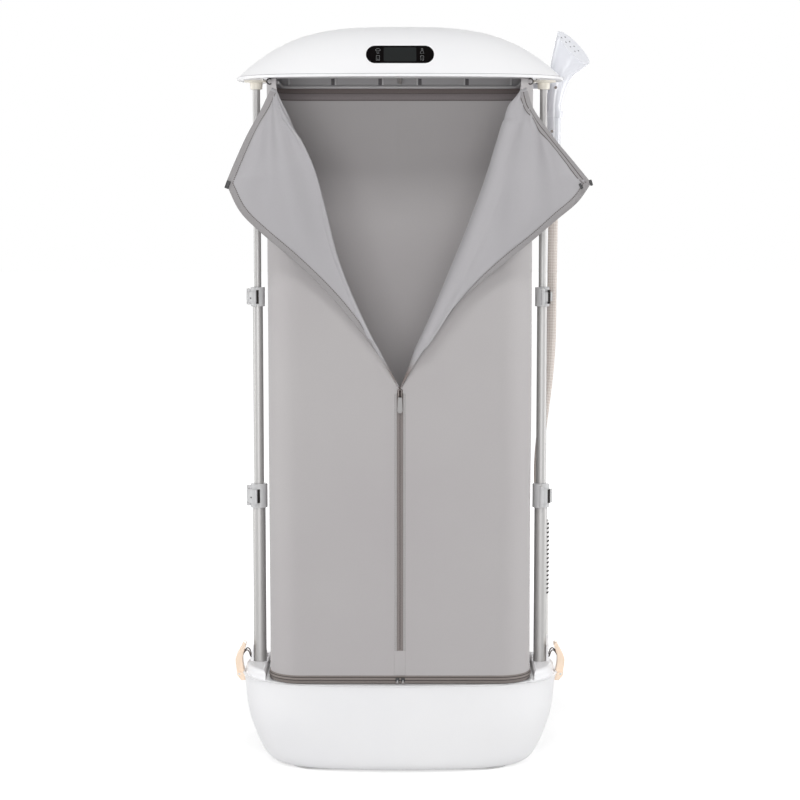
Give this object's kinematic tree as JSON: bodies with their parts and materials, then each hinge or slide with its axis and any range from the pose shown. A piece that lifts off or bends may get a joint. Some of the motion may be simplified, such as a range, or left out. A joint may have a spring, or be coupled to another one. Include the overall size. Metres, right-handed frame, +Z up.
{
  "type": "portable clothes dryer",
  "caption": "Free-standing fabric clothes dryer on telescopic poles, with a domed warm-air head, a white base and a steam wand on a hose.",
  "frame": {"origin": "on the floor under the middle of the base", "axes": "+Z up, front towards -Y, +X to the right seen from the front"},
  "size_m": [0.784, 0.3975, 1.6001],
  "materials": {
    "white_shell": "gloss",
    "grey_clamp": "satin",
    "grey_tray": "matt",
    "cream_plastic": "satin",
    "pale_rubber": "matt",
    "dark_rubber": "matt",
    "black_lens": "gloss",
    "dark_screen": "gloss",
    "pole_metal": "satin",
    "steel": "brushed",
    "boiler_metal": "cast",
    "board": "matt",
    "black_plastic": "matt",
    "clear_tank": "translucent",
    "cover_cloth": "woven",
    "zip_tape": "woven",
    "hose_braid": "woven"
  },
  "bodies": {
    "base": {"base_tub": "white_shell", "floor_pad": "dark_rubber", "base_deck": "white_shell", "deck_screws": "steel", "water_tank": "clear_tank", "steam_boiler": "boiler_metal", "steam_pipe": "steel", "water_pump": "black_plastic", "relay_board": "board", "mains_inlet": "black_plastic", "hose_socket": "white_shell", "bend_guard": "pale_rubber", "steam_hose": "hose_braid", "latch_brackets": "steel", "latch_pins": "steel", "left_lower_tube": "pole_metal", "right_lower_tube": "pole_metal", "left_lower_clamp": "grey_clamp", "right_lower_clamp": "grey_clamp", "lower_lever_pins": "steel", "bag_cover": "cover_cloth", "left_flap": "cover_cloth", "right_flap": "cover_cloth", "front_zip": "zip_tape", "hem_zip": "zip_tape"},
    "tank_cap": {"tank_cap": "white_shell"},
    "left_latch": {"left_latch": "cream_plastic"},
    "right_latch": {"right_latch": "cream_plastic"},
    "left_lower_lever": {"left_lower_lever": "grey_clamp"},
    "right_lower_lever": {"right_lower_lever": "grey_clamp"},
    "mid_stage": {"left_mid_tube": "pole_metal", "right_mid_tube": "pole_metal", "left_upper_clamp": "grey_clamp", "right_upper_clamp": "grey_clamp", "upper_lever_pins": "steel", "mid_glides": "black_plastic"},
    "left_upper_lever": {"left_upper_lever": "grey_clamp"},
    "right_upper_lever": {"right_upper_lever": "grey_clamp"},
    "head": {"left_upper_tube": "pole_metal", "right_upper_tube": "pole_metal", "upper_glides": "black_plastic", "head_dome": "white_shell", "display_lens": "black_lens", "display_screen": "dark_screen", "head_floor": "white_shell", "head_screws": "steel", "outlet_tray": "grey_tray", "pole_sockets": "cream_plastic", "hanger_rail": "steel", "control_board": "board", "blower_housing": "black_plastic", "blower_motor": "steel", "heater": "boiler_metal", "wand_holder": "white_shell"},
    "impeller": {"impeller": "black_plastic"},
    "wand": {"wand_body": "white_shell", "steam_plate": "white_shell", "wand_screws": "steel"},
    "zip_slider": {"zip_slider": "steel"}
  },
  "joints": [
    {"name": "mast_lower", "type": "slide", "parent": "base", "child": "mid_stage", "axis": [0, 0, 1], "range_m": [-0.375, 0], "deforming": ["bag_cover", "left_flap", "right_flap", "front_zip", "steam_hose"]},
    {"name": "head_lower", "type": "slide", "parent": "mid_stage", "child": "head", "axis": [0, 0, 1], "range_m": [-0.4126, 0]},
    {"name": "zip_follow", "type": "slide", "parent": "base", "child": "zip_slider", "axis": [0, 0, 1], "range_m": [-0.382, 0]},
    {"name": "left_latch_pivot", "type": "hinge", "parent": "base", "child": "left_latch", "pos_m": [-0.354, 0, 0.192], "axis": [0, -1, 0], "range_deg": [0, 100]},
    {"name": "right_latch_pivot", "type": "hinge", "parent": "base", "child": "right_latch", "pos_m": [0.354, 0, 0.192], "axis": [0, 1, 0], "range_deg": [0, 100]},
    {"name": "left_lower_flip", "type": "hinge", "parent": "base", "child": "left_lower_lever", "pos_m": [-0.3325, 0, 0.5875], "axis": [0, 0, -1], "range_deg": [0, 110]},
    {"name": "right_lower_flip", "type": "hinge", "parent": "base", "child": "right_lower_lever", "pos_m": [0.309, -0.0235, 0.5875], "axis": [0, 0, -1], "range_deg": [0, 110]},
    {"name": "left_upper_flip", "type": "hinge", "parent": "mid_stage", "child": "left_upper_lever", "pos_m": [-0.3295, 0, 1.023], "axis": [0, 0, -1], "range_deg": [0, 110]},
    {"name": "right_upper_flip", "type": "hinge", "parent": "mid_stage", "child": "right_upper_lever", "pos_m": [0.309, -0.0205, 1.023], "axis": [0, 0, -1], "range_deg": [0, 110]},
    {"name": "fan_spin", "type": "hinge", "parent": "head", "child": "impeller", "pos_m": [-0.168, 0, 1.53], "axis": [0, 0, 1], "continuous": true},
    {"name": "wand_lift", "type": "slide", "parent": "head", "child": "wand", "axis": [0, 0, 1], "range_m": [0, 0.06]},
    {"name": "cap_turn", "type": "hinge", "parent": "base", "child": "tank_cap", "pos_m": [-0.31, 0.046, 0.22], "axis": [0, 0, 1], "range_deg": [0, 90]}
  ],
  "couplings": [
    {"joint": "head_lower", "follows": "mast_lower", "ratio": 1.1},
    {"joint": "zip_follow", "follows": "mast_lower", "ratio": 1.0174}
  ]
}
